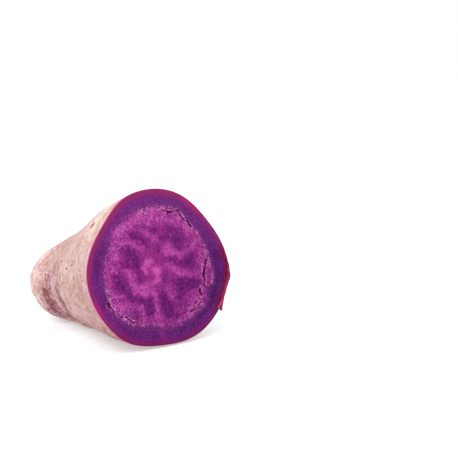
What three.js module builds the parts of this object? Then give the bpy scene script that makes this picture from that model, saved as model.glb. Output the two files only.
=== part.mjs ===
// Half of a purple sweet potato, cut straight across its middle and lying on its side.
//
// Millimetres, +Z up, standing on Z = 0. The tuber is turned round its own long axis, which runs
// from the middle of the cut to the tip. It is then pressed out of round: the outline of the cut
// fades into a rounder section towards the tip, the axis bends, and a few swells stand out of the
// sides. The cut is one flat plane. The half lies with its tip end down, so the cut leans back a
// little, and the underside that it lies on is pressed slightly flat.

import * as THREE from "three";

// Driving dimensions.
const HALF_LENGTH = 84; // from the cut to the tip, along the long axis
const CUT_RADIUS = 36.4; // mean radius of the cut
const LEAN = THREE.MathUtils.degToRad(10); // how far the cut leans back, because the tip end is down
const SECTION_SIDES = 72;
const STEPS_PER_SPAN = 4; // rings between two stations of the side profile
const FACE_RINGS = 4; // rings across the cut, from its middle to its edge

// The side profile: distance from the cut, and mean radius there.
const STATIONS = [
  [0, CUT_RADIUS],
  [14, 34.0],
  [27, 31.3],
  [40, 28.1],
  [51, 24.7],
  [61, 21.7],
  [70, 19.4],
  [78, 16.2],
  [82, 10.2],
  [83.6, 4.6],
  [HALF_LENGTH, 0],
];

// How the outline of the cut differs from a circle: waves round the edge, their depth, and where
// each wave first peaks, in degrees from +X towards +Z.
const OUTLINE_WAVES = [
  [1, 1.4, -31],
  [2, 2.0, -2],
  [3, 1.1, -29],
  [4, 0.4, -6],
  [6, 0.35, -3],
];
const OUTLINE_FADE = 58; // distance from the cut by which the waves have died out

// How far the long axis has moved sideways and upwards, as cubics of the share of the length.
const SIDE_BEND = [14, 1, -18];
const RISE_BEND = [-1.4, -7.9, 6.0];

// Swells and hollows of the sides: degrees round, distance from the cut, rise, and the spread
// of each, in degrees round and in millimetres along.
const SWELLS = [
  [180, 79, 1.9, 50, 12],
  [150, 34, 0.5, 30, 13],
  [20, 40, 1.0, 35, 16],
  [300, 60, 1.3, 40, 12],
  [350, 66, -0.5, 30, 8],
  [225, 22, 0.4, 45, 16],
];
const SWELL_START = 6; // a swell reaches its full rise only this far from the cut
const SWELL_FULL_RADIUS = 12; // and sinks with the section where it is thinner than this

// The underside.
const SIT_DEPTH = 1.3; // how far the round underside is pressed flat
const SIT_BLEND = 0.8; // height at which the flat has run out into the round

const waveTotal = (angle) =>
  OUTLINE_WAVES.reduce(
    (sum, [waves, depth, peak]) => sum + depth * Math.cos(waves * (angle - THREE.MathUtils.degToRad(peak))),
    0,
  );

const cubic = ([first, second, third], share) => share * (first + share * (second + share * third));

function swellTotal(angle, along, radius) {
  const grown = Math.min(along / SWELL_START, 1) * Math.min(radius / SWELL_FULL_RADIUS, 1);
  return SWELLS.reduce((sum, [at, from, rise, round, length]) => {
    const turn = THREE.MathUtils.euclideanModulo(THREE.MathUtils.radToDeg(angle) - at + 180, 360) - 180;
    return sum + grown * rise * Math.exp(-((turn / round) ** 2) - ((along - from) / length) ** 2);
  }, 0);
}

// One point of the plain turned body, moved to where the real skin is. The long axis is Y.
function shapedPoint(point) {
  const along = point.y;
  const radius = Math.hypot(point.x, point.z);
  const angle = Math.atan2(point.z, point.x);
  const share = along / HALF_LENGTH;
  const fade = Math.max(1 - along / OUTLINE_FADE, 0);
  const reach = radius * (1 + (fade * waveTotal(angle)) / CUT_RADIUS) + swellTotal(angle, along, radius);
  return new THREE.Vector3(
    cubic(SIDE_BEND, share) + reach * Math.cos(angle),
    along,
    cubic(RISE_BEND, share) + reach * Math.sin(angle),
  );
}

// Height of a point of the tuber once it leans.
const leaningHeight = (point) => point.z * Math.cos(LEAN) - point.y * Math.sin(LEAN);

// Presses the lowest skin flat at the height of the ground. A point only moves across the long
// axis, so the cut stays one plane.
function press(point, ground) {
  const height = leaningHeight(point) - ground;
  if (height >= SIT_BLEND) return;
  const pressed = height <= -SIT_BLEND ? 0 : (height + SIT_BLEND) ** 2 / (4 * SIT_BLEND);
  point.z += (pressed - height) / Math.cos(LEAN);
}

// The line that is turned: across the cut from its middle, then along the side to the tip.
function turnedLine() {
  const across = Array.from({ length: FACE_RINGS }, (_, ring) =>
    new THREE.Vector2((CUT_RADIUS * ring) / FACE_RINGS, 0),
  );
  const side = new THREE.SplineCurve(STATIONS.map(([along, radius]) => new THREE.Vector2(radius, along)));
  const along = side.getPoints((STATIONS.length - 1) * STEPS_PER_SPAN);
  along.at(-1).x = 0;
  return [...across, ...along];
}

function sweetPotatoGeometry() {
  const turned = new THREE.LatheGeometry(turnedLine(), SECTION_SIDES);
  const places = turned.getAttribute("position");
  const points = Array.from({ length: places.count }, (_, i) =>
    shapedPoint(new THREE.Vector3().fromBufferAttribute(places, i)),
  );
  const ground = Math.min(...points.map(leaningHeight)) + SIT_DEPTH;
  points.forEach((point, i) => {
    press(point, ground);
    places.setXYZ(i, point.x, point.y, point.z);
  });
  turned.computeVertexNormals();
  return turned;
}

const looks = new THREE.MeshStandardMaterial({ name: "tuber", color: 0xd0aaa4, roughness: 0.85, metalness: 0 });
const tuber = new THREE.Mesh(sweetPotatoGeometry(), looks);
tuber.name = "sweet_potato_half";
tuber.rotation.x = -LEAN;

// Stands the half on the ground, over the middle of its own plan.
const lying = new THREE.Group();
lying.add(tuber);
const box = new THREE.Box3().setFromObject(lying, true);
lying.position.set(-(box.min.x + box.max.x) / 2, -(box.min.y + box.max.y) / 2, -box.min.z);

const sweetPotato = new THREE.Group();
sweetPotato.add(lying);
export default sweetPotato;
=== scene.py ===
"""Half of a purple sweet potato, cut straight across its middle and lying on its side.

The shapes are worked out in millimetres in the tuber's own frame: X to the right of someone who
faces the cut, Y from the cut to the tip along the long axis, Z across both. The half then leans,
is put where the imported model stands, and is written in metres. Degrees round the tuber start at X
and rise towards Z.
"""

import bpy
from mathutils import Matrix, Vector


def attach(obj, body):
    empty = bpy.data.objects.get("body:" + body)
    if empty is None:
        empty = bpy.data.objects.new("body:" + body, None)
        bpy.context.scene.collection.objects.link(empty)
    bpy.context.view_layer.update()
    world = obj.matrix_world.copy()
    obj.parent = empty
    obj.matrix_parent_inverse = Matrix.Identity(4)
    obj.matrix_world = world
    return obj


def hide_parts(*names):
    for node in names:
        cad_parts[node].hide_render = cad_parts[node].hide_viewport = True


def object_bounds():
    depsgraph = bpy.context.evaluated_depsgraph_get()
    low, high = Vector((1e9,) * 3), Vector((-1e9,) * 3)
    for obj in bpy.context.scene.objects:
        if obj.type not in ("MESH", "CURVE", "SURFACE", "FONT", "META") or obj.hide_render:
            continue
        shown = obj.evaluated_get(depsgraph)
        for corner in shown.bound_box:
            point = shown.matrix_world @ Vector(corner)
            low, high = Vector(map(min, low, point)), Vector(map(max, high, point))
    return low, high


bl_info = {
    "name": "Purple sweet potato half",
    "version": (1, 0, 0),
    "blender": (4, 5, 0),
    "location": "3D View > Sidebar > Sweet Potato",
    "description": "Builds half of a purple sweet potato and its studio stage",
    "category": "Add Mesh",
}

import itertools
import math

import bpy
import numpy as np
from bpy.props import FloatProperty, FloatVectorProperty, IntProperty, PointerProperty
from mathutils import Matrix, Vector

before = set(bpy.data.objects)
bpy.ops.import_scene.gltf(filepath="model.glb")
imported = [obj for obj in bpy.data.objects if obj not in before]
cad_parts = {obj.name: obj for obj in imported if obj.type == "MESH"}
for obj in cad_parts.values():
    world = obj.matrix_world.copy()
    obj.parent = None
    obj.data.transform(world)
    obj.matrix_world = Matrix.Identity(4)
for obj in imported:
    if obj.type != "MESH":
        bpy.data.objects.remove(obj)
CAD_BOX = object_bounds()
NODE = "sweet_potato_half"
BODY = "root"
MM = 0.001

# The body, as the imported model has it: distance from the cut, and mean radius there.
CUT_RADIUS = 36.4
HALF_LENGTH = 84.0
STATIONS = np.array([
    (0, CUT_RADIUS), (14, 34), (27, 31.3), (40, 28.1), (51, 24.7), (61, 21.7),
    (70, 19.4), (78, 16.2), (82, 10.2), (83.6, 4.6), (HALF_LENGTH, 0),
])
LEAN = math.radians(10)
# Waves of the outline of the cut: how many go round, their depth, and where one peaks in degrees.
OUTLINE_WAVES = ((1, 1.4, -31), (2, 2.0, -2), (3, 1.1, -29), (4, 0.4, -6), (6, 0.35, -3))
OUTLINE_FADE = 58.0
# Cubics, from their first power up, that bend the axis sideways and up towards the tip.
SIDE_BEND = (14, 1, -18)
RISE_BEND = (-1.4, -7.9, 6.0)
# Rows of spots on the side all hold: degrees round, distance from the cut, rise, spread in degrees
# round, spread along. These are the swells of the body.
SWELLS = (
    (180, 79, 1.9, 50, 12), (150, 34, 0.5, 30, 13), (20, 40, 1, 35, 16), (300, 60, 1.3, 40, 12),
    (350, 66, -0.5, 30, 8), (225, 22, 0.4, 45, 16),
)
SWELL_START = 6.0
SWELL_FULL_RADIUS = 12.0
# How far the underside is pressed flat, and how far above that the press is felt.
SIT_DEPTH = 1.3
SIT_BLEND = 0.8

# Rows of places round the cut all hold: degrees round, rise, spread in degrees. These are where the
# cambium, the ragged line between the violet ring and the inner flesh, leaves its mean share of the
# radius.
CAMBIUM_SHARE = 0.768
CAMBIUM_BENDS = (
    (58, 0.03, 16), (47, -0.045, 8), (4, -0.04, 18), (335, 0.022, 22), (334, -0.07, 6), (302, -0.012, 14),
    (254, -0.036, 16), (224, 0.028, 10), (206, 0.05, 7), (156, -0.02, 7), (138, 0.06, 8), (124, 0.026, 9),
    (90, 0.004, 20),
)
# Lumps that make its line ragged: rise, size, seed.
CAMBIUM_LUMPS = ((0.31429, 2.6, 15), (0.15714, 1.3, 16), (0.07857, 0.65, 17))
CALM = ((150, 1, 22), (118, 1, 12), (330, 1, 10), (276, 1, 14))  # soft cambium, with no torn fringe
PEEL = ((346, 1, 24),)  # dark red rim whose peel is torn
FLUSH = ((50, 1, 13), (202, 1, 9))  # the brightest places of the band under the skin
# How far the skin stands out all round the cut, how far along that fades, and where it differs.
RIM_LIP = 0.35
RIM_LIP_LENGTH = 2.8
RIM_LIP_PLACES = ((230, 0.45, 11), (119, 0.5, 12), (262, -0.35, 26))
# Dark patches of the inner flesh: X, Z, half length, half width, turn in degrees, strength. The
# tone falls from the middle of a patch by this power of the distance, this fast.
DARK_PATCHES = (
    (-14.6, 7.6, 4.6, 3.4, -30, 0.85), (-12, 3.4, 4.6, 3.2, -50, 0.95), (-17.4, 2.8, 3, 1.6, -30, 0.7),
    (-10.4, 15.6, 3.8, 2.4, -10, 0.95), (-5.8, 11.8, 3.4, 2, -40, 0.75), (-0.2, 16.4, 2, 1.8, 0, 0.8),
    (1.6, 8.6, 2.4, 2.8, 0, 0.6), (4.8, 13.4, 2.8, 1.9, 0, 0.85), (10.4, 15.6, 3.4, 2.2, -10, 0.7),
    (6.8, 17.6, 3.6, 1.3, 0, 0.5), (12.8, 10.4, 3.9, 3.6, 0, 1), (14.8, 15.2, 2.8, 2, -40, 0.45),
    (19, 3.4, 3.8, 2.4, 22, 0.95), (16.4, -0.4, 5, 2.2, -4, 1), (8.4, 3.2, 5, 1.5, -10, 0.75),
    (12.6, -7.8, 4.6, 2.7, 0, 1), (18.8, -9.4, 4.4, 2.2, -4, 0.95), (10.2, -13.6, 3.6, 2.6, 56, 0.9),
    (15.2, -11.4, 3.2, 1.4, 0, 0.35), (1.4, -14, 3.2, 3.4, -20, 1), (3.2, -19.2, 3.4, 3.9, -20, 0.95),
    (-7.4, -17.6, 2.6, 4.2, 0, 0.9), (-20.4, -4.4, 4.6, 3.6, -30, 1), (-16.2, -10.6, 3.4, 1.7, -35, 0.8),
    (-10, -13.2, 5.6, 1.6, -10, 0.85), (2.4, -6.6, 2, 3, 0, 0.6), (-16.6, -18.6, 4.2, 2.2, -40, 0.6),
    (-10.2, -2.6, 2.4, 2.2, 0, 0.5), (4.4, 1, 1.8, 1.4, 0, 0.4), (13.2, -18.4, 2.2, 1.6, 40, 0.4),
    (7.2, -22.2, 2.4, 1.6, -40, 0.4), (-24.4, -1.2, 1.6, 1.4, 0, 0.4), (-31.6, 4.6, 9, 2.8, 82, 0.5),
    (24, -21.4, 6, 2.4, 48, 0.35), (-4.8, 18.6, 2.4, 1.7, 0, 0.35),
)
PATCH_POWER = 1.4
PATCH_FALL = 0.8
# Paler veins: from X, Z to X, Z, half width, strength.
PALE_VEINS = (
    (5.6, 7.4, 8, 7.4, 2.5, 1), (8.4, 7, 12.8, 4.6, 1.4, 0.8), (12.8, 4.4, 17.6, 4.8, 1.4, 0.85),
    (17.6, 4.8, 23.6, 9.2, 1.6, 0.75), (6, 11.2, 6.6, 9.2, 1.4, 0.6), (-1.2, 13, 1.2, 11.4, 1.3, 0.7),
    (-6.6, 16.8, -3.6, 14.6, 1.2, 0.7), (5.2, 0.9, 11, -2.8, 1.5, 0.85), (11, -2.8, 16, -5.2, 1.5, 0.85),
    (16, -5.2, 22.8, -5, 1.3, 0.5), (-17.2, -0.8, -13.4, -8, 2, 1), (-13.8, -8.2, -9.4, -10.2, 1.6, 0.85),
    (-10.6, -7.2, -7.4, -7.2, 1.9, 1), (-9, -9.4, -4.4, -10.4, 1.5, 0.8),
    (-4.2, -11.4, -3, -20.8, 1.6, 0.9), (3.4, -9, 5.6, -13.6, 1.7, 0.9),
    (7.2, -15.2, 8.4, -16.6, 1.1, 0.5), (-1.8, -0.6, -0.6, -1.4, 2.1, 1),
    (-8.2, 1.4, -6.4, -0.8, 1.4, 0.9), (-5.6, 3.4, -3.6, 3.6, 1.5, 0.75),
    (-3.8, -6.8, -0.6, -5, 1.6, 0.9), (-12.8, 11.6, -7.2, 9.4, 1.3, 0.75),
    (-19, 12.6, -12.4, 12.4, 1.4, 0.7), (-24, 13, -22.6, 7.6, 1.9, 0.7),
    (-25.6, 4.6, -24.6, 2.4, 1.5, 0.6), (-26.6, -0.8, -26.2, -3, 1.2, 0.5),
    (-26.4, -8.2, -21.6, -9.4, 1.4, 0.8), (-24.8, -13.4, -19, -16.6, 2.5, 1),
    (-16.8, -14, -13.8, -15.6, 1.2, 0.5), (-11.2, -15.6, -11.2, -22, 1.3, 0.7),
    (-6.4, -21.2, -3.4, -21.4, 1.5, 0.6), (15.6, -18.6, 18.8, -16.2, 1.8, 0.7),
    (13, -22.6, 16.4, -22.8, 1.3, 0.5), (-21.4, 16.6, -17, 18.4, 2.6, 0.9),
    (-13, 20.6, -6.6, 24.2, 2, 0.8), (-2.8, 21.2, 0.6, 25.6, 2.2, 0.8), (3, 21.2, 6.4, 21, 1.7, 0.6),
    (4, 25.4, 6.4, 25.6, 1.3, 0.6), (10, 20, 14.4, 19.8, 1.6, 0.6), (17.6, 17.6, 20.4, 14.6, 1.9, 0.75),
    (25.2, 2.6, 25, -2.6, 1.2, 0.75), (26.4, 4.6, 27.8, 3.4, 1.4, 0.5),
    (-3.6, -24.2, -2.8, -27.4, 1.6, 0.8), (-2.6, -28, -1.2, -32, 1.9, 1),
    (-29.6, -12.4, -25.6, -19.4, 2.2, 0.6), (-6.4, 2.8, -4.6, 2.2, 1.3, 0.6),
    (-2.4, -4.6, -0.8, -5.2, 1.4, 0.6),
)
HEART = (-4.4, 0.6, 7.0)  # the rosy middle of the flesh: X, Z, radius
# Cracks in the cambium: half width, then X and Z of each point that the crack passes.
CRACKS = (
    (0.22, 3.1, 26.7, 4.2, 26.5), (0.24, 5.9, 25.4, 7.4, 24.6, 8.5, 24.1),
    (0.5, 8.5, 24.1, 10, 24, 11, 24.1), (0.22, 11, 24.1, 12.6, 24.5, 14.5, 24.7),
    (0.38, 14.5, 24.7, 15.2, 23, 16, 21.6), (0.5, 16, 21.6, 16.8, 20.3, 17.3, 20),
    (0.24, 17.3, 20, 19.2, 19.2), (0.5, 19.2, 19.2, 20, 17.8, 21, 16.5),
    (0.17, 28.9, 4, 28.3, 2.4, 28, 1), (0.55, 27.4, 0.2, 26.8, -0.8, 26.9, -1.6),
    (0.34, 25.8, -2.4, 26.2, -3.5), (0.8, 26, -3.9, 25.6, -5.1, 25.3, -6.2),
    (0.55, 25.2, -6.2, 25.6, -7.5, 25.1, -8.6), (0.36, 25.1, -8.6, 25.4, -9.6, 24.8, -10.6),
    (0.12, 24.8, -10.6, 23.8, -11.2, 22.6, -11.8), (0.74, 21.9, -12.5, 22.2, -13.4),
    (0.42, 22.2, -13.4, 22.4, -14.4, 23, -15.3), (0.2, 21.4, -18, 20.4, -19, 19.2, -19.3),
    (0.34, 17.6, -20.5, 16.4, -21.2, 15.4, -21.5), (0.2, 15.4, -21.5, 14.2, -21.8),
    (0.72, -28.8, -11.7, -28.4, -12.7), (0.28, -28.4, -12.7, -27.6, -13.7, -26.6, -14.7),
    (0.14, -26.6, -14.7, -25.4, -16.1, -24.2, -17.4, -21.9, -18.3, -20.4, -19.2),
    (0.3, -20.4, -19, -19.2, -20.3, -17.7, -20.9), (0.28, -17.7, -20.9, -16.6, -21.7, -15.2, -21.4),
    (0.24, -27.6, -4.6, -28.2, -5.9, -28, -6.9), (0.22, -28.4, -8.5, -28.2, -9.4),
    (0.22, -4.7, 26.1, -3.5, 25.4),
)
CRACK_LIP, CRACK_DEPTH = 0.14, 0.8
# Relief of the cut: its slow wave, granules, lip along the cambium, flesh over ring, sunk patches,
# grain of the flesh, grain all over.
CUT_WAVE, GRANULE_RISE, CAMBIUM_LIP, FLESH_RISE = 0.12, 0.26, 0.16, 0.05
PATCH_SINK, FLESH_GRAIN, CUT_GRAIN = 0.07, 0.05, 0.02
PAINTED_LIGHT_SIDE = (-0.26, 0.97)  # X and Z of the way towards which the cut and the skin are painted lighter: painted light
RAY_RADIUS = 0.8 * CUT_RADIUS  # where the pattern of fine rays has its true width

# The torn strip of peel that hangs from the rim: degrees round, how far it stands out from the
# rim, its width towards the middle of the cut, how far it stands proud of the cut, how far back
# it goes.
SHRED = np.array([
    (12, 0.1, 0.4, 0.05, 0.8), (4, 0.3, 0.8, 0.15, 1.4), (-3, 0.6, 1.1, 0.25, 1.8),
    (-8, 1.15, 1.7, 0.3, 2), (-11, 1.65, 2.2, 0.35, 2), (-13, 1.75, 2.4, 0.35, 1.8),
    (-15.5, 0.9, 2, 0.3, 1.6), (-18.5, 0.3, 1.6, 0.3, 1.4), (-22, 0.15, 1.5, 0.35, 1.2),
    (-26, 0.3, 1.7, 0.45, 0.9), (-29.5, 0.75, 2.1, 0.55, 0.5), (-33, 1.45, 2.7, 0.6, 0.1),
    (-35.6, 2, 3.2, 0.55, -0.1),
])
SHRED_COLUMNS = 28
SHRED_SQUARE = 0.7  # power of sine and cosine in its section: 1 is an ellipse, less is squarer
SHRED_JAG = 0.16
SHRED_FREE = (-27, -35)  # degrees round between which the strip comes free

# Rings creased into the skin, as spots.
CREASES = (
    (210, 52.8, 0.46, 32, 0.8), (196, 55.6, 0.2, 26, 0.5), (176, 57.2, 0.26, 22, 0.45),
    (180, 61.8, 0.28, 22, 0.5), (168, 64.6, 0.22, 22, 0.4), (200, 67.8, 0.14, 30, 0.5),
    (205, 72, 0.12, 40, 0.5), (160, 76, 0.12, 60, 0.6), (170, 51.4, 0.2, 15, 0.5),
    (165, 45.2, 0.14, 20, 0.5), (20, 54, 0.28, 70, 0.8), (350, 63, 0.18, 60, 0.6),
    (330, 34, 0.1, 60, 0.7), (60, 46, 0.12, 40, 0.6),
)
# Folds, where the skin steps in towards the tip: distance from the cut, depth, how far past it the
# step runs out, degrees round, spread.
FOLDS = ((53.4, 1.10, 7.0, 218, 30), (57.0, 0.35, 4.0, 186, 30), (54.5, 0.45, 5.0, 40, 60))
# Fine ripples round the tip end: from one to the next, and where they grow to their full height.
RIPPLE_LENGTH = 2.3
RIPPLE_START = (42, 58)
# What moves rings and ripples along the tuber, and the lumps of the skin: rise, size, seed.
WANDER = ((1.5, 11, 31), (0.5, 3.5, 32))
RIPPLE_WANDER = ((2.0, 9, 41), (0.7, 3, 42))
SKIN_LUMPS = ((0.26, 13, 44), (0.15, 5.5, 45), (0.07, 2.4, 46), (0.035, 1.1, 47))
# Low bulges, as spots.
KNUCKLES = (
    (108, 63, 0.9, 32, 8), (190, 49, 0.35, 40, 6), (60, 30, 0.5, 30, 12), (320, 68, 0.5, 30, 8),
    (120, 12, 0.7, 26, 10), (124, 26, 0.5, 22, 8), (237, 70, 0.7, 14, 5), (236, 54, 0.9, 16, 7),
    (231, 14, 0.6, 13, 8), (226, 41, -0.6, 12, 8), (202, 74, -0.9, 15, 5), (226, 73, 0.45, 10, 5),
)
# Scars of rootlets: degrees round, distance from the cut, half width round, half length, depth.
SCARS = (
    (136, 16, 1.5, 2.6, 0.45), (167.5, 28, 0.7, 1.4, 0.42), (196, 33, 0.6, 0.4, 0.25),
    (169, 36, 0.7, 1.5, 0.45), (178.5, 23, 0.7, 1.3, 0.45), (157.5, 48, 0.7, 1.3, 0.4),
    (181.5, 8.5, 0.6, 1.1, 0.4), (187, 58, 0.7, 0.6, 0.3), (194, 67, 0.8, 0.6, 0.45),
    (232, 27, 1, 0.6, 0.35), (228, 40, 0.8, 0.5, 0.35), (176, 52.5, 0.7, 0.5, 0.25),
    (152, 62, 0.6, 0.5, 0.25), (100, 24, 1.3, 0.8, 0.55), (72, 38, 1.7, 0.9, 0.65),
    (40, 18, 1.1, 0.7, 0.45), (22, 52, 1.6, 0.9, 0.6), (355, 30, 1.3, 0.8, 0.5), (330, 46, 1, 0.7, 0.4),
    (305, 22, 1.5, 0.8, 0.45), (85, 62, 1, 0.7, 0.45), (245, 66, 1.3, 0.8, 0.45), (5, 72, 1.1, 0.8, 0.45),
    (60, 74, 0.9, 0.6, 0.35), (300, 74, 1, 0.7, 0.35),
)
TIP = (76, 80)  # where the torn stub of the root begins and has its full height
# Purple stains on the skin, as spots.
STAINS = (
    (203, 51, 1, 13, 3), (211, 53.2, 1, 9, 2), (196, 51.4, 0.8, 7, 2), (190, 64.8, 1, 9, 3.6),
    (201, 64.8, 1, 10, 4), (211, 67.6, 0.9, 9, 4.4), (227, 57.2, 0.8, 10, 1.9), (222, 71, 0.55, 13, 6),
    (173, 63.4, 0.6, 8, 3), (182, 68, 0.3, 16, 5), (167, 60, 0.35, 6, 2), (179, 52, 0.45, 7, 2.2),
    (163, 51, 0.4, 4, 2), (155, 25.2, 0.62, 5, 4.6), (168, 42, 0.4, 4, 3.2), (112, 60, 0.45, 9, 9),
    (216, 61, 0.4, 15, 5), (231, 64, 0.6, 13, 7), (188, 58, 0.4, 5, 2), (172, 16, 0.3, 4, 4),
    (60, 45, 0.8, 26, 8), (30, 66, 0.7, 20, 5), (330, 35, 0.6, 20, 7), (95, 70, 0.4, 16, 5),
    (285, 50, 0.5, 22, 8), (10, 20, 0.5, 16, 5),
)
# Pale dusty places on the skin, as spots.
DUSTY = (
    (132, 12, 1, 18, 9), (176, 80, 1.3, 40, 5.5), (172, 36, 0.35, 12, 10), (208, 34, 0.4, 15, 14),
    (140, 70, 0.3, 14, 5), (183, 76, 0.6, 24, 5), (80, 22, 0.7, 24, 10), (20, 40, 0.5, 20, 9),
    (300, 60, 0.5, 24, 8),
)

SKIN_STOPS = (0.02, 0.28, 0.52, 0.76, 1.0)  # tones of the skin's colours, from stain to dust

LATTICE = 32  # corners along each side of the cube of random numbers
CUT_POINTS, SIDE_POINTS = 2001, 4001  # points along the cut and along the side to pick rings from
# Rings are crowded where the cambium runs: how much more, and the shares of the radius between
# which that comes in and between which it ends.
CROWD = 1.9
CROWD_RISE, CROWD_FALL = (0.50, 0.60), (0.90, 0.84)
CUT_INSET = 0.35  # from the last ring of the cut to its edge
EDGE_BEVEL = 0.10
SIDE_STEPS = (0.32, 0.9)  # the first two rings of the side, along it
# The flat map: middle and reach of the disc of the cut; left, top, width and height of the skin.
DISC_MIDDLE, DISC_REACH = (0.30, 0.72), 0.243
STRIP_LEFT, STRIP_TOP, STRIP_WIDTH, STRIP_HEIGHT = 0.005, 0.415, 0.99, 0.40
SHRED_MAP = (0.05, 0.95, 0.03)  # low and high ends of the strip's map, and how far its poles pass them

# The camera looks at a point up and to the right of the middle of the cut.
CUT_MIDDLE = (-0.00137, -0.03832, 0.03464)
CAMERA_ASIDE, CAMERA_UP = 0.0311, 0.0172
SENSOR_WIDTH = 36.0
CLIP = (0.01, 30.0)
# Soft square lamps: name, setting of their power, side, place. They aim at the middle of the half.
LAMPS = (("near_lamp", "lamp", 0.4, (-0.50, -0.35, 0.60)), ("front_lamp", "fill", 1.6, (-0.9, -1.0, 1.0)))
LAMP_AIM = (0, 0, 0.03)
FLOOR_REACH = 6.0


# ---------------------------------------------------------------- fields


def srgb(red, green, blue):
    """Linear colour of an 8-bit screen colour: the usual 2.4 power curve with its straight foot."""
    share = np.array((red, green, blue)) / 255
    return tuple(np.where(share <= 0.04045, share / 12.92, ((share + 0.055) / 1.055) ** 2.4))


def stack(*parts):
    """Arrays and numbers spread to one shape and joined along a new last axis."""
    return np.stack(np.broadcast_arrays(*parts), axis=-1)


def smooth_step(low, high, value):
    """0 below low and 1 above high, joined by 3t^2 - 2t^3."""
    t = np.clip((value - low) / (high - low), 0, 1)
    return t * t * (3 - 2 * t)


def bell(distance, spread):
    """Bell curve: 1 at no distance, 1/e at one spread."""
    return np.exp(-((distance / spread) ** 2))


def turn_bell(turn, at, spread):
    """Bell curve of how far an angle in degrees is from another, the short way round."""
    return bell((turn - at + 180) % 360 - 180, spread)


def places(turn, rows):
    """Sum of the bells of a table of places round the cut."""
    return sum(rise * turn_bell(turn, at, spread) for at, rise, spread in rows)


def spots(turn, along, rows):
    """One by one, the spots of a table: the rise times a bell round and a bell along."""
    for at, start, rise, spread, length in rows:
        yield rise * turn_bell(turn, at, spread) * bell(along - start, length)


def laid_over(parts):
    """Soft marks over one another, 0 to 1: each keeps its share of what the others leave."""
    return 1 - math.prod(1 - part for part in parts)


def lumps(points, size, seed):
    """Random lumps about size across, from -1 to 1: a seeded number at each corner of a cubic
    lattice, blended between the corners by 3t^2 - 2t^3 in each direction."""
    lattice = np.random.default_rng(seed).uniform(-1, 1, (LATTICE,) * 3)
    place = points / size
    cell = np.floor(place).astype(int)
    share = smooth_step(0, 1, place - cell)
    total = np.zeros(points.shape[:-1])
    for corner in itertools.product((0, 1), repeat=3):
        x, y, z = np.moveaxis((cell + corner) % LATTICE, -1, 0)
        total += np.where(corner, share, 1 - share).prod(axis=-1) * lattice[x, y, z]
    return total


def heap(points, rows):
    """Sum of lumps, each with its rise, size and seed."""
    return sum(rise * lumps(points, size, seed) for rise, size, seed in rows)


# ---------------------------------------------------------------- the body


def side_line(count):
    """Distance from the cut and mean radius along the side: a curve through the stations whose
    slope at each is half the step between its neighbours, each stretch a cubic between two."""
    last = len(STATIONS) - 1
    place = np.linspace(0, last, count)
    near = np.minimum(place.astype(int), last - 1)
    t = (place - near)[:, None]
    before, start, end, after = (STATIONS[np.clip(near + k, 0, last)] for k in (-1, 0, 1, 2))
    slope_in, slope_out = (end - before) / 2, (after - start) / 2
    line = (
        (2 * start - 2 * end + slope_in + slope_out) * t**3
        + (3 * end - 3 * start - 2 * slope_in - slope_out) * t**2
        + slope_in * t
        + start
    )
    return line[:, 0], np.maximum(line[:, 1], 0)


def outline_waves(angle):
    """Sum of the waves that take the outline of the cut from a circle, in millimetres."""
    return sum(depth * np.cos(waves * (angle - math.radians(peak))) for waves, depth, peak in OUTLINE_WAVES)


def bend(cubic, share):
    """Cubic with no constant term."""
    return share * (cubic[0] + share * (cubic[1] + share * cubic[2]))


def body_point(radius, along, angle):
    """A point of the turned body moved to its real place: the radius grows by the outline's waves,
    which fade in a straight line, and by the swells, which grow from the cut and towards the side,
    round an axis that two cubics bend."""
    fade = np.maximum(1 - along / OUTLINE_FADE, 0)
    grown = np.minimum(along / SWELL_START, 1) * np.minimum(radius / SWELL_FULL_RADIUS, 1)
    swells = grown * sum(spots(np.degrees(angle), along, SWELLS))
    reach = radius * (1 + fade * outline_waves(angle) / CUT_RADIUS) + swells
    share = along / HALF_LENGTH
    return stack(
        bend(SIDE_BEND, share) + reach * np.cos(angle), along, bend(RISE_BEND, share) + reach * np.sin(angle)
    )


def height(points):
    """Height of points of the tuber once it leans."""
    return points[..., 2] * math.cos(LEAN) - points[..., 1] * math.sin(LEAN)


def press(points, ground):
    """Presses what is lowest flat at the height of the ground: below the blend it lies on the
    ground, and within the blend its height is the square of what it has above the lower limit."""
    over = height(points) - ground
    pressed = np.where(over <= -SIT_BLEND, 0, (over + SIT_BLEND) ** 2 / (4 * SIT_BLEND))
    moved = points.copy()
    moved[..., 2] += np.where(over < SIT_BLEND, pressed - over, 0) / math.cos(LEAN)
    return moved


def outward(points):
    """Unit normals of a grid of rings: the cross product of its two directions."""
    wrapped = np.concatenate([points[:, -1:], points, points[:, :1]], axis=1)
    normal = np.cross(np.gradient(points, axis=0), wrapped[:, 2:] - wrapped[:, :-2])
    return normal / np.maximum(np.linalg.norm(normal, axis=-1, keepdims=True), 1e-9)


# ---------------------------------------------------------------- marks of the cut


def dark_patches(x, z):
    """One by one, the dark patches: ellipses with soft edges."""
    for at_x, at_z, length, width, turn, strength in DARK_PATCHES:
        cos, sin = math.cos(math.radians(turn)), math.sin(math.radians(turn))
        dx, dz = x - at_x, z - at_z
        far = ((dx * cos + dz * sin) / length) ** 2 + ((dz * cos - dx * sin) / width) ** 2
        yield strength * np.exp(-(far**PATCH_POWER) * PATCH_FALL)


def line_distance(x, z, x0, z0, x1, z1):
    """Distance to a straight piece of line, measured to its nearest point."""
    run_x, run_z = x1 - x0, z1 - z0
    share = np.clip(((x - x0) * run_x + (z - z0) * run_z) / (run_x**2 + run_z**2), 0, 1)
    return np.hypot(x - x0 - share * run_x, z - z0 - share * run_z)


def pale_veins(x, z):
    """One by one, the pale veins: soft bands round pieces of line."""
    for *line, width, strength in PALE_VEINS:
        yield strength * bell(line_distance(x, z, *line), width)


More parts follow.
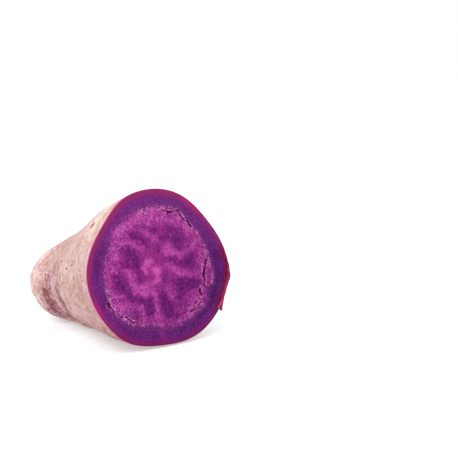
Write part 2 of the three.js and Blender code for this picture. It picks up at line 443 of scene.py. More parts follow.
def crack_edge(x, z):
    """Distance to the edge of the nearest crack: negative inside it."""
    return np.min([
        line_distance(x, z, *line[at : at + 4]) - half_width
        for half_width, *line in CRACKS for at in range(0, len(line) - 2, 2)
    ], axis=0)


def cut_marks(flat, share, turn, reach):
    """The fields that colour and raise the cut, from points on it, share of the radius, degrees
    round and full radius. Each is read at a place moved by small lumps, so no edge is even."""
    stir = stack(lumps(flat, 4.2, 11), 0, lumps(flat, 4.2, 12))
    fine = stack(lumps(flat, 1.1, 13), 0, lumps(flat, 1.1, 14))
    x, _, z = np.moveaxis(flat + 0.6 * stir + 0.6 * fine, -1, 0)
    sharp_x, _, sharp_z = np.moveaxis(flat + 0.35 * fine, -1, 0)
    cambium = CAMBIUM_SHARE + places(turn, CAMBIUM_BENDS)
    torn_turn = turn + 5 * lumps(flat, 4, 17)
    return {
        "dark": laid_over(dark_patches(x, z)),
        "pale": laid_over(pale_veins(x, z)),
        "crack": crack_edge(sharp_x, sharp_z),
        "core": (cambium - share) * reach + heap(flat, CAMBIUM_LUMPS),
        "heart": bell(np.hypot(x - HEART[0], z - HEART[1]), HEART[2]),
        "calm": smooth_step(0.25, 0.9, places(turn, CALM)),
        "peel": places(torn_turn, PEEL),
        "flush": places(torn_turn, FLUSH),
        # Painted light: lighter towards the top of the cut and the skin, darker away from it. The band under
        # the skin also grows thicker towards the top by it.
        "light": (PAINTED_LIGHT_SIDE[0] * flat[..., 0] + PAINTED_LIGHT_SIDE[1] * flat[..., 2]) / CUT_RADIUS,
    }


def cut_relief(flat, marks, share, relief):
    """Height of the cut over its plane: a slow wave, granules that stand up inside the cambium, a
    low lip along it, patches that dry a little lower, and cracks with steep walls."""
    core, crack = marks["core"], marks["crack"]
    grains = np.maximum(lumps(flat, 1.0, 21), 0) * 0.8 + np.abs(lumps(flat, 0.62, 22)) * 0.5
    lip = bell(core - 0.3, 0.45) * (0.4 + 0.6 * np.maximum(lumps(flat, 1.3, 23), 0))
    rise = (
        CUT_WAVE * lumps(flat, 17, 24)
        + GRANULE_RISE * bell(core - 2.6, 3.4) * grains
        + CAMBIUM_LIP * lip
        + FLESH_RISE * smooth_step(-0.4, 0.8, core)
        - PATCH_SINK * marks["dark"]
        + FLESH_GRAIN * lumps(flat, 0.8, 25) * smooth_step(0, 1, core)
        + CUT_GRAIN * lumps(flat, 0.9, 26)
    )
    torn = CRACK_LIP * bell(crack - 0.12, 0.22) - CRACK_DEPTH * (1 - smooth_step(-0.42, 0.12, crack))
    return relief * (rise * smooth_step(1.0, 0.985, share) + torn)


# ---------------------------------------------------------------- marks of the skin


def skin_marks(flat, turn, along, radius):
    """The fields that colour and raise the skin, from points of the straight turned body. Rings
    wander along the tuber by small lumps; scars and stains have uneven edges for the same reason."""
    wander = along + heap(flat, WANDER)
    fold = 0
    for at, depth, run_out, middle, spread in FOLDS:
        past = wander - at
        fall = smooth_step(-0.5, 0.6, past) * np.exp(-np.maximum(past, 0) / run_out)
        fold = fold + depth * fall * turn_bell(turn, middle, spread)
    fold_edge = np.min([np.abs(wander - at - 0.3) for at, *_ in FOLDS], axis=0)
    phase = (along + heap(flat, RIPPLE_WANDER)) * 2 * math.pi / RIPPLE_LENGTH
    ripples = np.sin(phase) * smooth_step(-0.1, 0.6, lumps(flat, 7, 43))
    ripples = ripples * (0.30 + 0.70 * smooth_step(*RIPPLE_START, along))
    sideways, endways = 0.35 * lumps(flat, 1.4, 33), 0.3 * lumps(flat, 1.6, 34)
    scar, lip = np.zeros(along.shape), np.zeros(along.shape)
    for at, start, half_round, half_along, depth in SCARS:
        across = np.radians((turn - at + 180) % 360 - 180) * radius + sideways
        far = np.hypot(across / half_round, (along - start + endways) / half_along)
        scar = np.maximum(scar, depth * np.exp(-(far**2.4)))
        lip = np.maximum(lip, 0.35 * depth * bell(far - 1.5, 0.45))
    at_tip = smooth_step(*TIP, along)
    stub = radius + 0.5 * lumps(flat, 1.6, 37)
    uneven = turn + 6 * lumps(flat, 6, 35), along + 1.6 * lumps(flat, 5, 36)
    crease = sum(spots(turn, wander, CREASES))
    return {
        "crease": crease,
        "fold": fold,
        "ripples": ripples,
        "scar": np.maximum(scar, 0.24 * at_tip * bell(stub, 1.5)),
        "lip": np.maximum(lip, 0.30 * at_tip * bell(stub - 2.4, 0.9)),
        # Painted shade: the skin is coloured darker in creases, in ripple troughs and along fold steps.
        "groove": crease * 1.6 + np.maximum(-ripples, 0) * 0.16 + fold * bell(fold_edge, 1.0) * 0.5,
        "stain": laid_over(spots(*uneven, STAINS)),
        "dusty": laid_over(spots(*uneven, DUSTY)),
    }


def skin_relief(flat, marks, turn, along, radius, relief):
    """Height of the skin over the smooth body: slow lumps, knuckles, fine ripples round the tip
    end, creases, folds and scars pressed in, a low lip round each scar and one along the cut."""
    away = smooth_step(0.3, 3.0, along) * smooth_step(0, 5, radius)
    rise = (
        sum(spots(turn, along, KNUCKLES))
        + heap(flat, SKIN_LUMPS)
        + 0.13 * marks["ripples"]
        - marks["crease"]
        - marks["fold"]
        - marks["scar"]
        + marks["lip"]
    )
    lip = (RIM_LIP + places(turn, RIM_LIP_PLACES)) * bell(along, RIM_LIP_LENGTH) * smooth_step(0, 5, radius)
    return relief * (rise * away + lip)


# ---------------------------------------------------------------- meshes


def placed(points):
    """Millimetres in the tuber's frame to metres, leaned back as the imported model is."""
    x, y, z = np.moveaxis(points, -1, 0)
    return stack(x, y * math.cos(LEAN) + z * math.sin(LEAN), height(points)) * MM


def standing_offset(smooth):
    """What moves the leaning smooth body, given in metres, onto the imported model's box."""
    low, high = smooth.min(axis=(0, 1)), smooth.max(axis=(0, 1))
    cad_low, cad_high = np.array(CAD_BOX)
    middle = (cad_low + cad_high - low - high) / 2
    return np.array([middle[0], middle[1], cad_low[2] - low[2]])


def rings_mesh(name, rings, ring_uv, pole_uv):
    """Closed mesh of rings between two poles, each in the middle of its ring. ring_uv has one
    column more than the rings, so the map doesn't run back over itself at the seam."""
    rows, columns = rings.shape[:2]
    points = np.concatenate([rings.reshape(-1, 3), rings[[0, -1]].mean(axis=1)])
    row, column = np.meshgrid(np.arange(rows - 1), np.arange(columns), indexing="ij")
    at_row, at_column = stack(row, row + 1, row + 1, row), stack(column, column, column + 1, column + 1)
    quads = at_row * columns + at_column % columns
    one = np.arange(columns)
    two, last = (one + 1) % columns, (rows - 1) * columns
    fans = (stack(rows * columns, one, two), stack(rows * columns + 1, last + two, last + one))
    fans_uv = (
        np.stack([pole_uv[0], ring_uv[0, :-1], ring_uv[0, 1:]], axis=1),
        np.stack([pole_uv[1], ring_uv[-1, 1:], ring_uv[-1, :-1]], axis=1),
    )
    corners = np.concatenate([part.ravel() for part in (quads, *fans)])
    uv = np.concatenate([part.ravel() for part in (ring_uv[at_row, at_column], *fans_uv)])
    sizes = np.repeat((4, 3), (quads.size // 4, 2 * columns))

    mesh = bpy.data.meshes.new(name)
    mesh.vertices.add(len(points))
    mesh.vertices.foreach_set("co", points.astype(np.float32).ravel())
    mesh.loops.add(len(corners))
    mesh.loops.foreach_set("vertex_index", corners.astype(np.int32))
    mesh.polygons.add(len(sizes))
    mesh.polygons.foreach_set("loop_start", (np.cumsum(sizes) - sizes).astype(np.int32))
    mesh.polygons.foreach_set("use_smooth", np.ones(len(sizes), bool))
    mesh.uv_layers.new(name="OFBake").data.foreach_set("uv", uv.astype(np.float32))
    mesh.update(calc_edges=True)
    if mesh.validate():
        raise RuntimeError(f"{name}: the mesh was not sound")
    return mesh


def add_field(mesh, name, grid, ends=None):
    """Stores a number or a vector for every point of the rings, then for the two poles: the given
    ends, or the means of the first and the last ring."""
    vector = grid.ndim == 3
    if ends is None:
        ends = grid[[0, -1]].mean(axis=1)
    values = np.concatenate([grid.reshape(-1, 3) if vector else grid.ravel(), ends])
    field = mesh.attributes.new(name, "FLOAT_VECTOR" if vector else "FLOAT", "POINT")
    field.data.foreach_set("vector" if vector else "value", values.astype(np.float32).ravel())


def add_object(context, name, data):
    """Links an object to the scene."""
    added = bpy.data.objects.new(name, data)
    context.scene.collection.objects.link(added)
    return added


def add_piece(context, name, mesh):
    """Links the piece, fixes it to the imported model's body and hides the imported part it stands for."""
    piece = add_object(context, name, mesh)
    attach(piece, BODY)
    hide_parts(NODE)


# ---------------------------------------------------------------- shader recipes


class Signal:
    """A socket of a recipe that takes part in sums: each operator adds one Math node."""

    def __init__(self, recipe, socket):
        self.recipe = recipe
        self.socket = socket

    def _math(self, operation, first, second):
        return self.recipe.node("Math", {"operation": operation}, {0: first, 1: second})

    def __add__(self, other):
        return self._math("ADD", self, other)

    def __sub__(self, other):
        return self._math("SUBTRACT", self, other)

    def __rsub__(self, other):
        return self._math("SUBTRACT", other, self)

    def __mul__(self, other):
        return self._math("MULTIPLY", self, other)

    def __abs__(self):
        return self._math("ABSOLUTE", self, 0)

    __radd__ = __add__
    __rmul__ = __mul__

    def step(self, low, high, to_low=0.0, to_high=1.0):
        """Smooth step of the signal, from to_low at low to to_high at high."""
        sockets = {"Value": self, "From Min": low, "From Max": high, "To Min": to_low, "To Max": to_high}
        return self.recipe.node("MapRange", {"interpolation_type": "SMOOTHSTEP"}, sockets)


class Recipe:
    """One material and the nodes that make its finish."""

    def __init__(self, name):
        self.material = bpy.data.materials.new(name)
        self.material.use_nodes = True
        self.tree = self.material.node_tree
        self.tree.nodes.clear()

    def node(self, kind, settings, sockets, output=0):
        """Adds a node: its settings first, a ramp's stops among them, then the values or links of
        its sockets, by name or number. Gives the named or numbered output, if the node has any."""
        made = self.tree.nodes.new("ShaderNode" + kind)
        for key, value in settings.items():
            if key == "stops":
                for _ in value[2:]:
                    made.color_ramp.elements.new(1.0)
                for stop, (place, colour) in zip(made.color_ramp.elements, value):
                    stop.position, stop.color = place, (*colour, 1.0)
            else:
                setattr(made, key, value)
        for key, value in sockets.items():
            socket = made.inputs[key]
            if isinstance(value, Signal):
                self.tree.links.new(value.socket, socket)
            else:
                socket.default_value = (*value, 1.0) if socket.type == "RGBA" else value
        return Signal(self, made.outputs[output]) if made.outputs else None

    def fields(self, *names):
        """Numbers stored on the mesh."""
        return [self.node("Attribute", {"attribute_name": name}, {}, "Fac") for name in names]

    def place(self, *stretch, name="place"):
        """A place in millimetres stored on the mesh, stretched along its three axes."""
        at = self.node("Attribute", {"attribute_name": name}, {}, "Vector")
        if not stretch:
            return at
        return self.node("Mapping", {"vector_type": "POINT"}, {"Vector": at, "Scale": stretch})

    def wobble(self, place, reach):
        """A place moved by soft noise up to about reach millimetres."""
        shift = self.node("TexNoise", {"noise_dimensions": "3D"}, {"Vector": place, "Scale": 0.8}, "Color")
        shift = self.node("VectorMath", {"operation": "SUBTRACT"}, {0: shift, 1: (0.5, 0.5, 0.5)})
        shift = self.node("VectorMath", {"operation": "SCALE"}, {0: shift, "Scale": reach * 2})
        return self.node("VectorMath", {"operation": "ADD"}, {0: place, 1: shift})

    def noise(self, place, size, detail=2.0, rough=0.5, twist=0.0):
        """Fractal noise about size millimetres across, on both sides of 0."""
        return self.node("TexNoise", {"noise_dimensions": "3D"}, {
            "Vector": place, "Scale": 1 / size, "Detail": detail, "Roughness": rough, "Distortion": twist,
        }) - 0.5

    def cells(self, place, size, feature):
        """Distance in cells about size millimetres across, from their middles or their edges."""
        return self.node("TexVoronoi", {"feature": feature}, {"Vector": place, "Scale": 1 / size}, "Distance")

    def mix(self, factor, first, second, blend="MIX"):
        """Colour between two colours."""
        settings = {"data_type": "RGBA", "blend_type": blend, "clamp_factor": True}
        return self.node("Mix", settings, {0: factor, 6: first, 7: second}, output=2)

    def over(self, ground, *layers):
        """Colour with others laid over it in turn: how much of each, the colour, and the blend."""
        for amount, *colour in layers:
            ground = self.mix(amount, ground, *colour)
        return ground

    def ramp(self, value, *stops):
        """Colour of a value along a ramp of (place, colour) stops."""
        return self.node("ValToRGB", {"stops": stops}, {"Fac": value}, "Color")

    def finish(self, colour, roughness, specular, lift, strength):
        """The material from its colour, roughness, gloss, and height in millimetres for bumps."""
        bump = self.node("Bump", {}, {"Height": lift, "Distance": MM, "Strength": strength})
        return self.shade({
            "Base Color": colour, "Roughness": roughness, "Specular IOR Level": specular, "Normal": bump,
        })

    def shade(self, sockets):
        """The material from the values or links of its shader's sockets."""
        self.node("OutputMaterial", {}, {"Surface": self.node("BsdfPrincipled", {}, sockets)})
        return self.material


def flesh_material(tones):
    """The cut: a violet ring round magenta flesh that dark patches and pale veins marble, granules
    and fine rays along the cambium, a crimson band under the skin and dark cracks, with painted
    light that makes the flesh, the ring and the skin's cut edge paler towards the top, and painted
    shade in the cracks."""
    r = Recipe("cut_flesh")
    place = r.place()
    core, dark, pale, crack, edge = r.fields("core", "dark", "pale", "crack", "edge")
    heart, calm, peel, flush, light = r.fields("heart", "calm", "peel", "flush", "light")
    broad = r.noise(place, 7.0)
    cloud = r.noise(place, 2.6, detail=3, rough=0.6)
    blot = r.noise(place, 1.7, detail=1)
    grain = r.noise(place, 1.0, rough=0.6)
    fine = r.noise(place, 0.55, detail=1)
    rays = r.noise(r.place(1.9, 0.42, 1.9, name="rays"), 1.0, rough=0.6)
    strands = r.noise(r.place(0.25, 1.5, 0.25, name="rays"), 1.0, rough=0.6)
    texture = 1.3 * grain + fine

    # Inner flesh: one tone from dark to pale, with fine rays and more grain towards the cambium,
    # rosier and redder in the middle, bluer in places, and painted light: paler towards the top.
    near = core.step(12.0, 2.5)
    tone = 0.47 + 0.36 * pale - 0.34 * dark + 0.5 * cloud + 0.7 * blot + (0.85 + 0.35 * near) * texture
    tone = tone + near * (0.03 + 1.25 * rays) + 0.11 * light
    walls = r.cells(r.wobble(place, 0.7), 1.5, "DISTANCE_TO_EDGE")
    lace = walls.step(0.14, 0.02) * (cloud + 0.6 * grain).step(-0.03, 0.10) * core.step(4.5, 1.0)
    threads = 0.7 * texture + 1.2 * rays
    rosy = (heart * 0.5 + 1.6 * broad + 0.8 * cloud - 0.5 * dark - 0.3 * pale).step(-0.15, 0.45)
    dusky = (1.4 * broad + 0.8 * cloud - 0.5 * dark + 0.4 * heart).step(-0.05, -0.45)
    flesh = r.over(
        r.ramp(
            tone, (0.02, tones.patch), (0.25, tones.flesh_dark), (0.47, tones.flesh),
            (0.70, tones.flesh_light), (0.90, tones.vein), (1.0, tones.granule),
        ),
        (lace * 0.32, tones.granule),
        ((threads + 0.5 * cloud).step(0.12, 0.36) * core.step(6.5, 1.2) * 0.32, tones.granule),
        (threads.step(-0.12, -0.32) * core.step(5.0, 0.6) * 0.7, tones.gap),
        (rosy * 0.8, tones.rosy, "MULTIPLY"),
        (dusky * 0.8, tones.dusky, "MULTIPLY"),
        (((0.15 + heart) * pale + 0.8 * cloud + 0.4 * grain).step(0.10, 1.0) * 0.36, tones.rosy_vein),
        ((heart + 0.9 * cloud - 0.3 * pale).step(0.70, 0.98) * 0.7, tones.heart),
    )

    # Violet ring: one tone too, streaked along itself, bluer in places, redder along the cambium,
    # with painted light: paler towards the top, darker away from it.
    tone = 0.53 + 1.1 * texture + 0.55 * blot + 0.5 * cloud + 0.6 * broad + 0.4 * rays + 0.55 * strands
    tone = tone + 0.30 * light - 0.42 * peel - 0.45 * dark
    middle = (core + 1.5 * cloud).step(-0.6, -3.4) * (edge + 1.5 * cloud).step(1.6, 3.8)
    second = abs(core + 2.8 + 2.2 * cloud).step(0.55, 0.10) * (fine + grain).step(-0.02, 0.12) * (1 - near)
    ring = r.over(
        r.ramp(tone, (0.0, tones.ring_dark), (0.45, tones.ring), (1.0, tones.ring_light)),
        (middle * (broad + 0.3 * cloud).step(-0.20, 0.20, 0.08, 0.46), tones.ring_blue),
        ((core + 2.0 * cloud).step(-3.6, -0.4) * 0.75, tones.ring_inner),
        ((edge + 2.0 * cloud).step(6.0, 1.5) * 0.55, tones.ring_outer),
        ((pale + 1.6 * cloud + 0.6 * grain).step(0.25, 1.1) * 0.45, tones.flesh),
        (second * broad.step(-0.06, 0.06) * 0.30, tones.granule),
        ((fine + 0.4 * grain).step(0.10, 0.21) * 0.30, tones.ring_speck),
        ((1.2 * fine + 0.7 * strands + 0.3 * grain).step(0.12, 0.28) * 0.28, tones.ring_fleck),
    )

    # The ragged line between them, soft where the flesh is calm, with a pale torn fringe of curls.
    ragged = core + 2.6 * cloud + 4.2 * rays + 1.2 * texture
    sharp = ragged.step(-0.55, 0.55)
    fringe = (1 - abs(ragged - 0.4).step(0.0, 0.75)) * (texture + 0.6 * cloud).step(-0.04, 0.16)
    curls = r.cells(r.wobble(place, 0.6), 1.25, "DISTANCE_TO_EDGE").step(0.13, 0.03)
    torn = abs(core - 0.1 + 1.2 * cloud).step(1.3, 0.2) * (broad + 1.2 * cloud - 0.2 * calm).step(0.0, 0.16)
    torn = torn + abs(crack - 0.5).step(0.8, 0.1) * (cloud + 0.5 * blot).step(-0.08, 0.08)
    curls = curls * torn * (texture + 0.5 * cloud).step(-0.14, 0.10)

    # The crimson band under the skin, its strands and the skin's own cut edge. The band is thicker and
    # redder towards the top, its dark strands spread further away from the top as painted shade, and
    # the cut edge is painted light: pale on the top side and dark below.
    depth = edge + 1.6 * broad + 2.2 * cloud + 1.1 * grain - 1.9 * peel - 0.1 * flush - 0.4 * light
    bright = r.mix(light.step(-0.3, 0.5), tones.band_magenta, tones.band_bright)
    red = r.mix((strands + 0.3 * grain).step(0.02, 0.20), tones.band_deep, tones.band_red)
    band = r.over(
        tones.band,
        (light.step(-0.2, 0.6), tones.band_top),
        ((flush + 1.6 * cloud).step(0.30, 0.95) * 0.8, bright),
        ((texture + 1.2 * strands - 0.4 * light - 0.3 * flush).step(-0.05, 0.45) * 0.75, tones.band_dark),
        (peel.step(0.15, 0.8), red),
    )
    spots_below = (cloud + 0.8 * blot + 0.6 * strands + 0.3 * grain).step(0.10, 0.30)
    spots_below = spots_below * (edge + 1.2 * cloud).step(2.6, 0.6)
    peel_cut_painted_light = r.mix((light + 0.6 * cloud).step(-0.7, 0.3), tones.band_dark, tones.peel_edge)

    # Cracks: dark inside, partly the deeper flesh and partly painted shade in the gap, and pale at the lips.
    split = crack + 0.7 * grain + 0.5 * fine
    lips = (1 - abs(split - 0.34).step(0.0, 0.40)) * (grain + 0.4 * cloud).step(-0.10, 0.04)

    colour = r.over(
        ring,
        (sharp + calm * (ragged.step(-2.2, 1.8) - sharp), flesh),
        (fringe * (0.52 - 0.45 * calm), tones.fringe),
        (curls * 0.6, tones.curl),
        (depth.step(3.1, 0.1) * 0.95, band),
        (spots_below * 0.55, tones.band_deep),
        ((edge + 0.6 * grain).step(0.60, 0.10) * (0.8 - 0.6 * peel), peel_cut_painted_light),
        (lips * 0.65, tones.fringe),
        (split.step(0.10, -0.10), tones.crack),
    )
    roughness = (grain + 0.4 * cloud).step(-0.2, 0.2, 0.42, 0.62)
    return r.finish(colour, roughness, 0.06, texture * 0.16 + cloud * 0.15 + rays * 0.10, 0.6)


def skin_material(tones):
    """The dry skin: one tone from purple stain to pale dust, in clouds, mottles, specks and fine
    grain, on a warmer or a pinker ground, with short marks that run round the tuber, creases and
    scars. Painted shade darkens its creases, folds and ripple troughs, and painted light makes it
    and the pink along the cut paler towards the top."""
    r = Recipe("dry_skin")
    place = r.place()
    stain, dusty, scar, groove = r.fields("stain", "dusty", "scar", "groove")
    lip, edge, light, flush = r.fields("lip", "edge", "light", "flush")
    cloud = r.noise(place, 9.0)
    mottle = r.noise(place, 3.4, detail=3, rough=0.6)
    blotch = r.noise(place, 1.8, rough=0.65)
    grain = r.noise(place, 1.1, rough=0.6)
    fine = r.noise(place, 0.58, detail=1)
    round_marks = r.noise(r.place(0.30, 1.1, 0.30), 1.0, detail=3, rough=0.6, twist=0.15)
    lines = r.noise(r.place(0.36, 1.9, 0.36), 1.0, rough=0.6, twist=0.2)
    speckle = r.noise(r.place(1.15, 0.72, 1.15), 1.0, detail=3, rough=0.6)
    rough_place = r.noise(place, 4.6, detail=1).step(-0.10, 0.10)
    texture = (grain + 0.8 * fine) * (0.5 + 0.6 * rough_place)

    net = r.cells(r.wobble(r.place(0.75, 1.2, 0.75), 0.9), 1.7, "DISTANCE_TO_EDGE").step(0.16, 0.0)
    stained = 1.04 * stain - 0.12 + 0.6 * mottle + 0.5 * round_marks
    stained = stained + (0.7 + 1.7 * stain) * blotch + (0.4 + 0.6 * stain) * texture
    stained = stained.step(0.38, 0.80)
    tone = 0.59 + 0.7 * cloud + 0.85 * mottle + 0.50 * texture + 0.55 * round_marks + 0.35 * lines
    # Painted light: the skin is paler towards the top.
    tone = tone + 1.05 * speckle + 0.19 * light + 0.27 * dusty - 0.12 * stained
    # Painted shade: darker in creases, folds and ripple troughs.
    tone = tone - 0.85 * groove + 0.8 * lip - 0.07 * net
    warm, cool = (r.ramp(tone, *zip(SKIN_STOPS, colours)) for colours in (
        (tones.speck, tones.brown, tones.tan, tones.cream, tones.dust),
        (tones.stain, tones.mauve, tones.pink, tones.rose, tones.dust),
    ))
    pinkness = 2.6 * cloud + 0.9 * mottle + 0.5 * grain - 0.24 * dusty + 0.12 * stained
    pinkness = pinkness + edge.step(9.0, 1.0) * 0.05
    netted = (0.9 * net - 1.6 * texture).step(0.10, 0.60) * (stain + 0.6 * mottle).step(0.30, 0.85)
    dots = r.cells(r.wobble(r.place(0.9, 0.6, 0.9), 0.7), 2.3, "F1").step(0.26, 0.10)
    # Pink skin along the cut with painted light: paler pink towards the top, deeper pink away from it.
    blush = r.mix((light + 0.8 * mottle).step(-0.55, 0.35), tones.blush, tones.blush_painted_lit)
    colour = r.over(
        warm,
        (pinkness.step(-0.34, 0.36), cool),
        (stained * 0.80, r.mix(netted, tones.stain, tones.net)),
        (dots * (mottle + 0.4 * grain).step(0.03, 0.09) * 0.8, tones.fleck),
        ((scar + 0.3 * grain).step(0.05, 0.26) * 0.8, tones.scar),
        ((scar + 0.5 * grain).step(0.26, 0.46) * 0.7, tones.scar_deep),
        ((edge + 1.3 * grain + mottle - 2.4 * flush).step(2.0, 0.4) * 0.7, blush),
        ((edge + 0.7 * grain).step(0.60, 0.20) * 0.75, tones.peel_edge),
    )
    lift = texture * 0.50 + speckle * 0.85 + round_marks * 0.40 + lines * 0.30 + mottle * 0.45 - net * 0.03
    return r.finish(colour, (grain + 0.5 * mottle).step(-0.2, 0.2, 0.62, 0.86), 0.2, lift, 0.7)


def peel_material(tones):
    """The torn strip: wet red peel with darker and paler strands, palest at its torn free end, with a
    painted highlight along its outer edge.
    """
    r = Recipe("red_peel")
    (fray,) = r.fields("fray")
    strands = r.noise(r.place(0.22, 1.5, 1.5), 1.0, rough=0.6)
    grain = r.noise(r.place(), 0.7)
    colour = r.over(
        tones.deep,
        ((strands + 0.3 * grain).step(0.0, 0.18), tones.red),
        ((1.6 * strands + 0.6 * grain + fray).step(0.30, 0.80) * 0.9, tones.pale),
    )
    return r.finish(colour, grain.step(-0.2, 0.2, 0.35, 0.5), 0.25, strands * 0.4 + grain * 0.15, 0.6)


# ---------------------------------------------------------------- settings


def whole(name, description, value, low, high):
    """A whole number the user can change."""
    return IntProperty(name=name, description=description, default=value, min=low, max=high)


def number(name, description, value, low, high, **kind):
    """A number the user can change, with its unit or subtype."""
    return FloatProperty(name=name, description=description, default=value, min=low, max=high, **kind)


def tint(name, description, *screen):
    """A colour the user can change, given as its 8-bit screen colour."""
    value = srgb(*screen)
    return FloatVectorProperty(
        name=name, description=description, default=value, subtype="COLOR", size=3, min=0, max=1
    )


class TUBER_PG_shape(bpy.types.PropertyGroup):
    """How finely the half is meshed and how strong its relief is."""

    columns: whole("Columns", "Points round each ring", 400, 48, 400)
    cut_rings: whole("Cut rings", "Rings from the middle of the cut to its edge", 118, 20, 118)
    side_rings: whole("Side rings", "Rings from the edge of the cut to the tip", 124, 20, 124)
    shred_rows: whole("Shred rows", "Sections of the torn peel", 120, 30, 200)
    cut_relief: number("Cut relief", "Strength of granules and cracks", 1, 0, 2, subtype="FACTOR")
    skin_relief: number("Skin relief", "Strength of wrinkles and scars", 1, 0, 2, subtype="FACTOR")


class TUBER_PG_flesh(bpy.types.PropertyGroup):
    """Colours of the cut."""

    patch: tint("Patches", "Darkest marbling of the flesh", 90, 7, 80)
    flesh_dark: tint("Dark flesh", "Flesh round the patches", 108, 23, 97)
    flesh: tint("Flesh", "Magenta flesh inside the cambium", 127, 36, 111)
    flesh_light: tint("Light flesh", "Flesh between the patches", 146, 51, 127)
    vein: tint("Veins", "Pale veins of the flesh", 163, 64, 139)
    granule: tint("Granules", "Pale starchy granules", 176, 84, 155)
    gap: tint("Gaps", "Dark gaps between granules", 88, 10, 78)
    rosy: tint("Rosy tint", "Tint of the redder flesh", 255, 214, 236)
    dusky: tint("Dusky tint", "Tint of the bluer flesh", 230, 255, 252)
    heart: tint("Heart", "Crimson middle of the flesh", 150, 28, 96)
    rosy_vein: tint("Rosy veins", "Pale veins near the middle", 206, 92, 166)
    fringe: tint("Fringe", "Torn pale flesh along the cambium", 180, 98, 162)
    curl: tint("Curls", "Pale torn curls of the fringe", 204, 138, 190)
    ring_dark: tint("Dark ring", "Darkest specks of the ring", 54, 2, 60)
    ring: tint("Ring", "Violet ring under the skin", 85, 20, 89)
    ring_light: tint("Light ring", "Lightest specks of the ring", 116, 45, 116)
    ring_speck: tint("Ring specks", "Small pale specks of the ring", 120, 60, 126)
    ring_fleck: tint("Ring flecks", "Lilac streaks of the ring", 136, 82, 140)
    ring_blue: tint("Blue ring", "Bluer places of the ring", 84, 22, 110)
    ring_inner: tint("Inner ring", "Inner edge of the ring", 100, 34, 100)
    ring_outer: tint("Outer ring", "Redder outer edge of the ring", 108, 20, 98)
    band: tint("Band", "Crimson band under the skin", 126, 34, 99)
    band_top: tint("Top band", "Redder band at the top", 130, 36, 84)
    band_bright: tint("Bright band", "Brightest crimson of the band", 160, 28, 90)
    band_magenta: tint("Magenta band", "Brightest magenta of the band", 148, 26, 110)
    band_dark: tint("Dark band", "Darker places of the band", 94, 10, 60)
    band_deep: tint("Deep band", "Dark red under torn peel", 88, 6, 54)
    band_red: tint("Red strands", "Red strands of torn peel", 148, 22, 78)
    peel_edge: tint("Peel edge", "Cut edge of the skin", 146, 22, 96)
    # Dark flesh with painted shade inside the cracks.
    crack: tint("Cracks", "Depth of the cracks", 84, 4, 62)


class TUBER_PG_skin(bpy.types.PropertyGroup):
    """Colours of the skin."""

    speck: tint("Specks", "Dark specks of the warm ground", 122, 76, 76)
    brown: tint("Brown", "Darker warm skin", 165, 114, 108)
    tan: tint("Tan", "Warm ground of the skin", 191, 150, 140)
    cream: tint("Cream", "Light warm skin", 212, 177, 164)
    stain: tint("Stains", "Purple stains and specks", 134, 46, 76)
    net: tint("Net", "Darkest net in the stains", 92, 36, 56)
    mauve: tint("Mauve", "Darker pink skin", 155, 107, 118)
    pink: tint("Pink", "Pink ground of the skin", 190, 147, 153)
    rose: tint("Rose", "Light pink skin", 211, 173, 178)
    dust: tint("Dust", "Pale dry dust", 235, 209, 200)
    fleck: tint("Flecks", "Small dark flecks", 106, 66, 64)
    scar: tint("Scars", "Scars of rootlets", 146, 98, 86)
    scar_deep: tint("Deep scars", "Pits of the scars", 86, 50, 46)
    blush: tint("Blush", "Pink skin along the cut", 186, 96, 138)
    # Painted light: the paler blush on the top side.
    blush_painted_lit: tint("Pale blush", "Pale pink skin along the cut", 226, 178, 182)
    peel_edge: tint("Peel edge", "Cut edge of the skin", 186, 74, 120)


class TUBER_PG_peel(bpy.types.PropertyGroup):
    """Colours of the torn strip of peel."""

    red: tint("Red", "Wet red of the strip", 170, 18, 82)
    deep: tint("Deep red", "Darker strands", 108, 8, 60)
    # Pale strands, the torn ends and the painted highlight along the outer edge.
    pale: tint("Pale strands", "Pale pink strands and ends", 214, 104, 128)


class TUBER_PG_stage(bpy.types.PropertyGroup):
    """Camera, floor and light."""

    azimuth: number("Azimuth", "Turn of the camera", math.radians(-42), -math.pi, math.pi, subtype="ANGLE")
    elevation: number("Elevation", "Rise of the camera", math.radians(8), -1.5, 1.5, subtype="ANGLE")
    distance: number("Distance", "From the camera to the cut", 0.4761, 0.1, 10, unit="LENGTH")
    lens: number("Lens", "Focal length in millimetres", 85, 20, 200)
    sky: number("Sky", "Strength of the even light all round", 1, 0, 5)
    lamp: number("Lamp", "Power of the near soft lamp", 2.4, 0, 100, unit="POWER")
    fill: number("Fill", "Power of the wide front lamp", 4, 0, 100, unit="POWER")
    glow: number("Glow", "Light that comes up through the table", 0.36, 0, 2)
    floor: tint("Floor", "Pale floor", 219, 226, 229)


def group(kind, name, description):
    """A group of settings."""
    return PointerProperty(type=kind, name=name, description=description)


class TUBER_PG_all(bpy.types.PropertyGroup):
    """Everything the user can change."""

    shape: group(TUBER_PG_shape, "Shape", "Mesh and relief")
    flesh: group(TUBER_PG_flesh, "Flesh", "Colours of the cut")
    skin: group(TUBER_PG_skin, "Skin", "Colours of the skin")
    peel: group(TUBER_PG_peel, "Peel", "Colours of the torn peel")
    stage: group(TUBER_PG_stage, "Stage", "Camera, floor and light")


# ---------------------------------------------------------------- the pieces


def walked(*line):
    """Way walked along a line of points, from 0."""
    return np.append(0, np.cumsum(np.hypot(*np.diff(line))))


